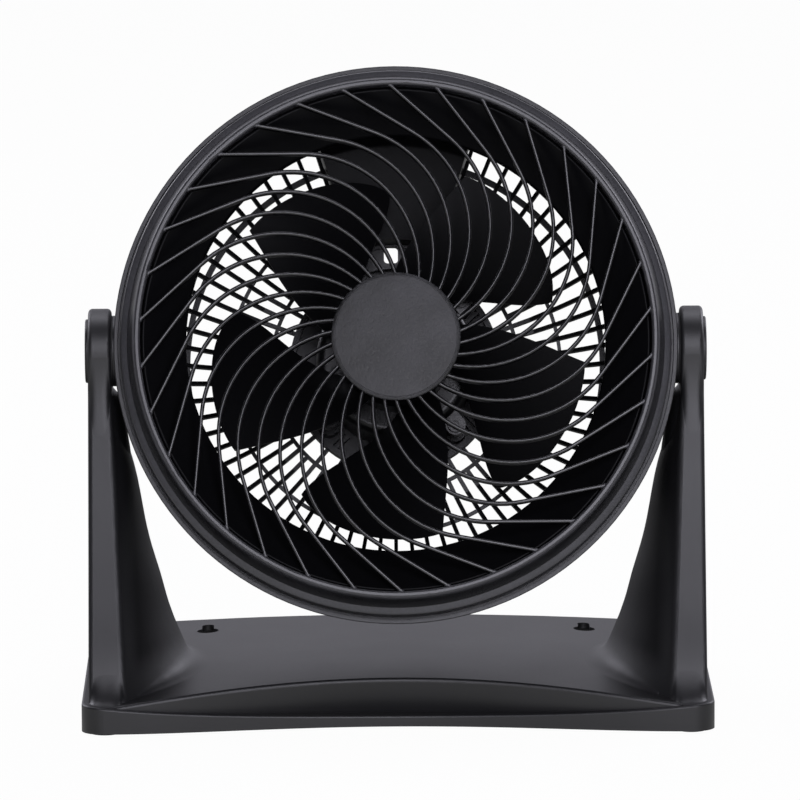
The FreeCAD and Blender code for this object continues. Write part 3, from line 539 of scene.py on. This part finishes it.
finishOf = {
    "black_plastic": grainBlack,
    "black_satin": satinBlack,
    "grey_plastic": hubGrey,
    "rubber": rubber,
    "nylon": nylon,
    "steel": zincSteel,
    "black_enamel": blackEnamel,
    "bronze": bronze,
    "lamination": lamination,
    "copper": copper,
}
ownFinish = {
    "stand": standBlack,
    "housing_ring": housingBlack,
    "front_guard": guardBlack,
    "rear_guard": rearBlack,
    "control_box": boxBlack,
    "motor_screws": blackEnamel,
    "pivot_washers": rubber,
}
for part in frame["record"]["subparts"]:
    material = ownFinish.get(part["node"], finishOf[part["material_slot"]])
    nodes[part["node"]].data.materials[0] = material
print("finishes: %d on %d nodes" % (len(finishOf), len(nodes)))


# Pieces made here. Each sits on the CAD part that carries it.

headAxis = Vector(joints["fan_spin"]["axis"])  # to the rear
headUp = Vector((0.0, -headAxis.z, headAxis.y))
spinDepth = 0.060  # from the guard's lip back to the middle of the blades
tiltY = joints["head_tilt"]["pos_m"][1]
skin = {
    "sink": 0.0012,
    "crease": 0.6,
}


def headPlace(depth, up):
    # Rear view of the head: X to the viewer's right, Y up, Z to the rear
    middle = Vector(joints["fan_spin"]["pos_m"]) + headAxis * (depth - spinDepth) + headUp * up
    turn = Matrix((Vector((-1.0, 0.0, 0.0)), headUp, headAxis)).transposed().to_4x4()
    return Matrix.Translation(middle) @ turn


def meshObject(name, shape, material):
    mesh = bpy.data.meshes.new(name)
    shape.to_mesh(mesh)
    shape.free()
    mesh.materials.append(material)
    thing = bpy.data.objects.new(name, mesh)
    bpy.context.scene.collection.objects.link(thing)
    return thing


def addPiece(name, shape, material, body):
    piece = meshObject(name, shape, material)
    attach(piece, body)
    return piece


def smoothFaces(shape, crease):
    for face in shape.faces:
        face.smooth = True
    for edge in shape.edges:
        edge.smooth = edge.calc_face_angle(0.0) < crease


def skinShape(cuts, place, sink):
    # A grid laid over place(u, v), closed by a copy of itself sunk into what carries it
    shape = bmesh.new()
    bmesh.ops.create_grid(shape, x_segments=cuts[0], y_segments=cuts[1], size=0.5)
    for vert in shape.verts:
        vert.co = place(vert.co.x + 0.5, vert.co.y + 0.5)
    copied = bmesh.ops.extrude_face_region(shape, geom=shape.faces[:])["geom"]
    sunk = [item for item in copied if isinstance(item, bmesh.types.BMVert)]
    bmesh.ops.translate(shape, verts=sunk, vec=sink)
    bmesh.ops.recalc_face_normals(shape, faces=shape.faces[:])
    smoothFaces(shape, skin["crease"])
    return shape


def bent(first, middle, last, share):
    # Point on the curve that leaves first towards middle and comes to last from it
    return first.lerp(middle, share).lerp(middle.lerp(last, share), share)


# Small forms of the arms: blends into the deck, shoulders under the pivots, fairings and toes

armBlend = {
    "reach": 0.064,
    "rise": 0.0085,
    "spread": 0.0075,
    "thinEnd": 0.2,
    "endPower": 0.5,
    "above": 0.06,  # rays to the deck start here
    "postHeight": 0.03,  # and the first one to the arm's wall here
    "stepBack": 0.012,
    "feel": 0.004,
    "cuts": (56, 8),
}
armShoulder = {
    "innerX": 0.1285,
    "seat": 0.0003,
    "rows": [(0.098, 0.0095), (0.110, 0.0092), (0.118, 0.0082), (0.125, 0.0071), (0.132, 0.0059),
             (0.138, 0.0047), (0.142, 0.0035), (0.1448, 0.0)],  # height, how far it stands in from the arm
    "halfWidths": (0.027, 0.013),
    "cuts": (20, 24),
}
armFairing = {
    "cornerZ": 0.1442,
    "reach": 0.017,
    "acrossX": (0.1288, 0.1387),
    "thinEnd": 0.1,
    "endPower": 4,
    "castFrom": 0.2,
    "cuts": (16, 12),
}
armToe = {
    "acrossX": (0.1222, 0.1381),
    "ledgeY": -0.083,
    "rise": 0.0165,
    "spread": 0.0070,
    "thinEnd": 0.12,
    "endPower": 4,
    "cuts": (28, 12),
}
standTree = BVHTree.FromObject(nodes["stand"], bpy.context.evaluated_depsgraph_get())


def addArmSkin(name, cuts, place, sink):
    addPiece(name, skinShape(cuts, place, sink), standBlack, "stand")


def deckHeight(x, y):
    return standTree.ray_cast(Vector((x, y, armBlend["above"])), Vector((0.0, 0.0, -1.0)))[0].z


def makeArmBlend(name, side):
    outward = Vector((side, 0.0, 0.0))

    def wall(x, y, height):
        point, normal = standTree.ray_cast(Vector((x, y, height)), outward)[:2]
        return point, Vector((normal.x, normal.y, 0.0)).normalized()

    def place(u, v):
        y = tiltY + armBlend["reach"] * (2.0 * u - 1.0)
        size = max(math.sin(math.pi * u) ** armBlend["endPower"], armBlend["thinEnd"])
        start = wall(0.0, y, armBlend["postHeight"])[0].x - side * armBlend["stepBack"]
        floor = deckHeight(start, y)
        low, away = wall(start, y, floor + armBlend["feel"])
        high = wall(start, y, floor + armBlend["feel"] * 2.0)[0]
        corner = low * 2.0 - high  # where the wall would meet the deck
        corner.z = deckHeight(corner.x - side * skin["sink"], y)
        top = wall(start, y, corner.z + armBlend["rise"] * size)[0]
        toe = corner + away * armBlend["spread"] * size
        toe.z = deckHeight(toe.x, toe.y)
        return bent(top, corner, toe, v)

    addArmSkin(name, armBlend["cuts"], place, Vector((side, 0.0, -1.0)) * skin["sink"])


def makeArmShoulder(name, side):
    rows = armShoulder["rows"]

    def place(u, v):
        step = min(int(v * (len(rows) - 1)), len(rows) - 2)
        share = v * (len(rows) - 1) - step
        height, proud = Vector(rows[step]).lerp(Vector(rows[step + 1]), share)
        low, high = armShoulder["halfWidths"]
        across = 2.0 * u - 1.0
        x = armShoulder["innerX"] - proud * (1.0 - across * across) + armShoulder["seat"]
        return Vector((side * x, tiltY + across * (low + (high - low) * v), height))

    addArmSkin(name, armShoulder["cuts"], place, Vector((side, 0.0, 0.0)) * skin["sink"])


def narrowFace(x, height, facing):
    # Point on the arm's narrow face: its front where facing is -1, its back where it is 1
    start = Vector((x, facing * armFairing["castFrom"], height))
    return standTree.ray_cast(start, Vector((0.0, -facing, 0.0)))[0]


def acrossFace(piece, side, u):
    # Place across an arm's narrow face and the piece's size there, thin at both ends
    first, last = piece["acrossX"]
    size = 1.0 - abs(2.0 * u - 1.0) ** piece["endPower"]
    return side * (first + (last - first) * u), max(size, piece["thinEnd"])


def makeArmFairing(name, side, facing):
    # Eases the arm's narrow face from the straight pivot end into the spreading post
    def place(u, v):
        x, size = acrossFace(armFairing, side, u)
        corner = narrowFace(x, armFairing["cornerZ"], facing)
        top = narrowFace(x, armFairing["cornerZ"] + armFairing["reach"] * size, facing)
        low = narrowFace(x, armFairing["cornerZ"] - armFairing["reach"] * size, facing)
        return bent(top, corner, low, v)

    addArmSkin(name, armFairing["cuts"], place, Vector((0.0, -facing, 0.0)) * skin["sink"])


def makeArmToe(name, side):
    # Flares the foot of the arm's front face onto the ledge of the base
    def place(u, v):
        x, size = acrossFace(armToe, side, u)
        ledge = deckHeight(x, armToe["ledgeY"])
        low = narrowFace(x, ledge + armBlend["feel"] * 2.0, -1.0)
        high = narrowFace(x, ledge + armBlend["feel"] * 3.0, -1.0)
        corner = low + (low - high) * 2.0  # where the face would meet the ledge
        top = narrowFace(x, ledge + armToe["rise"] * size, -1.0)
        toe = corner - Vector((0.0, armToe["spread"] * size, 0.0))
        toe.z = deckHeight(x, toe.y)
        return bent(top, corner, toe, v)

    addArmSkin(name, armToe["cuts"], place, Vector((0.0, 1.0, -1.0)) * skin["sink"])


for name, side in (("left", -1.0), ("right", 1.0)):
    makeArmBlend(name + "ArmBlend", side)
    makeArmShoulder(name + "ArmShoulder", side)
    makeArmFairing(name + "FrontFairing", side, -1.0)
    makeArmFairing(name + "RearFairing", side, 1.0)
    makeArmToe(name + "ArmToe", side)


# Hub cap: slightly crowned, with a fine groove inside its rim

hubCap = {
    "profile": [(0.0, -2.6), (8.0, -2.56), (14.0, -2.46), (19.0, -2.32), (23.0, -2.16), (26.0, -2.0),
                (27.3, -1.9), (27.45, -1.65), (27.75, -1.65), (27.9, -1.9), (28.5, -1.75), (28.85, -1.45),
                (29.0, -1.1), (29.0, -0.8), (26.8, -0.8), (26.8, 0.4),
                (0.0, 0.4)],  # radius, depth in millimetres
    "millimetre": 0.001,
    "steps": 128,
    "merge": 0.000002,
    "crease": 0.5,
}


def makeHubCap():
    shape = bmesh.new()
    points = [Vector((radius, 0.0, depth)) * hubCap["millimetre"] for radius, depth in hubCap["profile"]]
    corners = [shape.verts.new(point) for point in points]
    edges = [shape.edges.new(pair) for pair in zip(corners, corners[1:])]
    bmesh.ops.spin(shape, geom=corners + edges, cent=(0.0, 0.0, 0.0), axis=(0.0, 0.0, 1.0),
                   angle=2.0 * math.pi, steps=hubCap["steps"], use_merge=True)
    bmesh.ops.remove_doubles(shape, verts=shape.verts[:], dist=hubCap["merge"])
    bmesh.ops.recalc_face_normals(shape, faces=shape.faces[:])
    smoothFaces(shape, hubCap["crease"])
    bmesh.ops.transform(shape, matrix=headPlace(0.0, 0.0), verts=shape.verts[:])
    piece = addPiece("hubCap", shape, hubGrey, "head")
    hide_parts("guard_cap")


makeHubCap()


# Dial: marks and numbers on the panel, a pale line in the knob's pointer groove

dial = {
    "centre": (0.102, 0.070),  # depth of the panel's face, height over the fan axis
    "tickFrom": 0.0119,
    "tickLength": 0.0018,
    "tickWidth": 0.0005,
    "tickRise": 0.00012,
    "numberSize": 0.0042,
    "numbers": [("0", 0.0, 0.0165), ("1", 45.0, 0.0165), ("2", 90.0, 0.0165), ("3", 119.0, 0.0160)],
    "stops": [0.0, 45.0, 90.0, 135.0],
    "pointer": (0.0012, 0.0064, 0.0008),
    "pointerPlace": (0.0112, 0.0062),  # over the panel's face, out from the knob's middle
    "bevelShare": 0.3,
    "bevelCuts": 2,
    "merge": 0.000001,
}
printLook = {
    "dark": (0.56, 0.56, 0.57),
    "light": (0.72, 0.72, 0.73),
    "cloud": 0.004,
    "grain": 0.0003,
    "contrast": 1.4,
    "coarse": 2.0,
    "bump": 0.15,
    "relief": 0.00002,
    "rough": 0.55,
    "roughGrain": 0.1,
    "roughCloud": 0.06,
}
paleInk = surface("paleInk", printLook, mouldedPaint)


def barShape(shape, size, place):
    made = bmesh.ops.create_cube(shape, size=1.0)["verts"]
    bmesh.ops.scale(shape, vec=size, verts=made)
    edges = list({edge for vert in made for edge in vert.link_edges})
    offset = min(size) * dial["bevelShare"]
    rounded = bmesh.ops.bevel(shape, geom=edges, offset=offset, offset_type="OFFSET", affect="EDGES",
                              segments=dial["bevelCuts"], profile=0.5, material=-1)["verts"]
    kept = [vert for vert in made if vert.is_valid]
    bmesh.ops.transform(shape, matrix=place, verts=list(set(rounded + kept)))


def makeDial():
    face = headPlace(*dial["centre"])
    marks = bmesh.new()
    for angle in dial["stops"]:
        turn = Matrix.Rotation(math.radians(-angle), 4, "Z")
        out = Matrix.Translation((0.0, dial["tickFrom"] + dial["tickLength"] / 2, 0.0))
        barShape(marks, (dial["tickWidth"], dial["tickLength"], dial["tickRise"] * 2), face @ turn @ out)
    for figure, angle, radius in dial["numbers"]:
        curve = bpy.data.curves.new("dialNumber", "FONT")
        curve.body = figure
        curve.size = dial["numberSize"]
        curve.align_x = "CENTER"
        curve.align_y = "CENTER"
        curve.extrude = dial["tickRise"]
        holder = bpy.data.objects.new("dialNumber", curve)
        flat = bpy.data.meshes.new_from_object(holder)
        bpy.data.objects.remove(holder)
        angle = math.radians(angle)
        place = Vector((math.sin(angle), math.cos(angle), 0.0)) * radius
        flat.transform(face @ Matrix.Translation(place))
        marks.from_mesh(flat)
        bpy.data.meshes.remove(flat)
    bmesh.ops.remove_doubles(marks, verts=marks.verts[:], dist=dial["merge"])
    addPiece("dialMarks", marks, paleInk, "head")
    line = bmesh.new()
    rise, out = dial["pointerPlace"]
    barShape(line, dial["pointer"], face @ Matrix.Translation((0.0, out, rise - dial["pointer"][2] / 2)))
    addPiece("knobLine", line, paleInk, "knob")


makeDial()
print("pieces: arm blends, shoulders, fairings and toes, hub cap, dial")


# Studio

studio = {
    "floorTone": (0.66, 0.66, 0.66),
    "floorRough": 0.9,
    "floorReach": 12.0,
    "floorGlow": 0.97,
    "floorShine": [(0.0, 1.0), (0.46, 1.0), (0.52, 0.10), (0.72, 0.10), (0.85, 0.6)],
    "shineSpan": 2.0,
    "skyFill": 0.12,
    "sweep": [(0.0, 0.03), (0.52, 0.06), (0.80, 0.72)],
    "lightTone": (0.91, 0.90, 1.0),
    "lamps": [
        # name, place, aim, width, height, power
        ("frontLamp", (0.30, -2.3, 1.05), (0.0, 0.0, 0.15), 1.3, 1.5, 46.0),
        ("topLamp", (0.0, 0.5, 1.6), (0.0, 0.0, 0.1), 1.4, 0.7, 11.0),
        ("leftLamp", (-2.0, 1.5, 1.4), (0.0, 0.0, 0.15), 1.3, 1.3, 30.0),
        ("rightLamp", (2.0, 1.5, 1.4), (0.0, 0.0, 0.15), 1.3, 1.3, 34.0),
    ],
}


def rayShares(finish):
    # 1 for camera rays, and 1 for rays off gloss or through clear things
    camera = finish.add("ShaderNodeLightPath", output="Is Camera Ray")
    glossy = finish.add("ShaderNodeLightPath", output="Is Glossy Ray")
    through = finish.add("ShaderNodeLightPath", output="Is Transmission Ray")
    return camera, glossy + through


def makeWorld():
    world = bpy.data.worlds.new("studioLight")
    world.use_nodes = True
    bpy.context.scene.world = world
    finish = Finish(world.node_tree)
    backdrop = world.node_tree.nodes["Background"]
    camera, shine = rayShares(finish)
    finish.join(finish.blend(camera, studio["lightTone"], (1.0, 1.0, 1.0)), backdrop.inputs["Color"])
    heading = finish.axis(finish.add("ShaderNodeTexCoord", output="Generated"), "Y")
    # Gloss shows the room dim behind the camera and bright behind the fan
    sweep = finish.ramp(heading * 0.5 + 0.5, studio["sweep"])
    strength = camera + shine * sweep + (1.0 - camera - shine) * studio["skyFill"]
    finish.join(strength, backdrop.inputs["Strength"])


def makeFloor():
    plate = bmesh.new()
    bmesh.ops.create_grid(plate, x_segments=1, y_segments=1, size=studio["floorReach"] / 2)
    material, finish, shader = newMaterial("paleFloor", studio["floorTone"])
    shader.inputs["Base Color"].default_value = studio["floorTone"] + (1.0,)
    shader.inputs["Roughness"].default_value = studio["floorRough"]
    camera, shine = rayShares(finish)
    ahead = finish.axis(finish.spot(), "Y") * (0.5 / studio["shineSpan"]) + 0.5
    # Gloss shows the floor bright in front of the fan and far behind it, and dim near its back
    tone = camera + shine * finish.ramp(ahead, studio["floorShine"])
    glow = finish.add("ShaderNodeEmission", None, {"Color": tone, "Strength": 1.0})
    mixOver(finish, camera * studio["floorGlow"] + shine, shader, glow)
    floor = meshObject("floor", plate, material)


def makeLamps():
    for name, place, aim, width, height, power in studio["lamps"]:
        light = bpy.data.lights.new(name, "AREA")
        light.shape = "RECTANGLE"
        light.size = width
        light.size_y = height
        light.energy = power
        light.color = studio["lightTone"]
        lamp = bpy.data.objects.new(name, light)
        lamp.location = place
        lamp.rotation_euler = (Vector(aim) - Vector(place)).to_track_quat("-Z", "Y").to_euler()
        bpy.context.scene.collection.objects.link(lamp)


view = {
    "aim": (0.00195, 0.0, 0.1375),
    "azimuth": -0.38,
    "elevation": 9.24,
    "roll": -0.26,
    "distance": 4.059,
    "lens": 402.2,
    "sensor": 36.0,
    "clipEnd": 100.0,
}


def makeCamera():
    azimuth = math.radians(view["azimuth"])
    elevation = math.radians(view["elevation"])
    level = Vector((math.sin(azimuth), -math.cos(azimuth), 0.0))
    back = level * math.cos(elevation) + Vector((0.0, 0.0, math.sin(elevation)))
    right = Vector((math.cos(azimuth), math.sin(azimuth), 0.0))
    up = back.cross(right)
    turn = Matrix((right, up, back)).transposed() @ Matrix.Rotation(math.radians(view["roll"]), 3, "Z")
    data = bpy.data.cameras.new("camera")
    data.lens = view["lens"]
    data.sensor_width = view["sensor"]
    data.clip_end = view["clipEnd"]
    camera = bpy.data.objects.new("camera", data)
    camera.location = Vector(view["aim"]) + back * view["distance"]
    camera.rotation_euler = turn.to_euler()
    bpy.context.scene.collection.objects.link(camera)
    bpy.context.scene.camera = camera


makeWorld()
makeFloor()
makeLamps()
makeCamera()
bpy.context.scene.view_settings.view_transform = "Standard"
print("studio: %d lamps, camera %.2f m away" % (len(studio["lamps"]), view["distance"]))

bpy.context.view_layer.update()
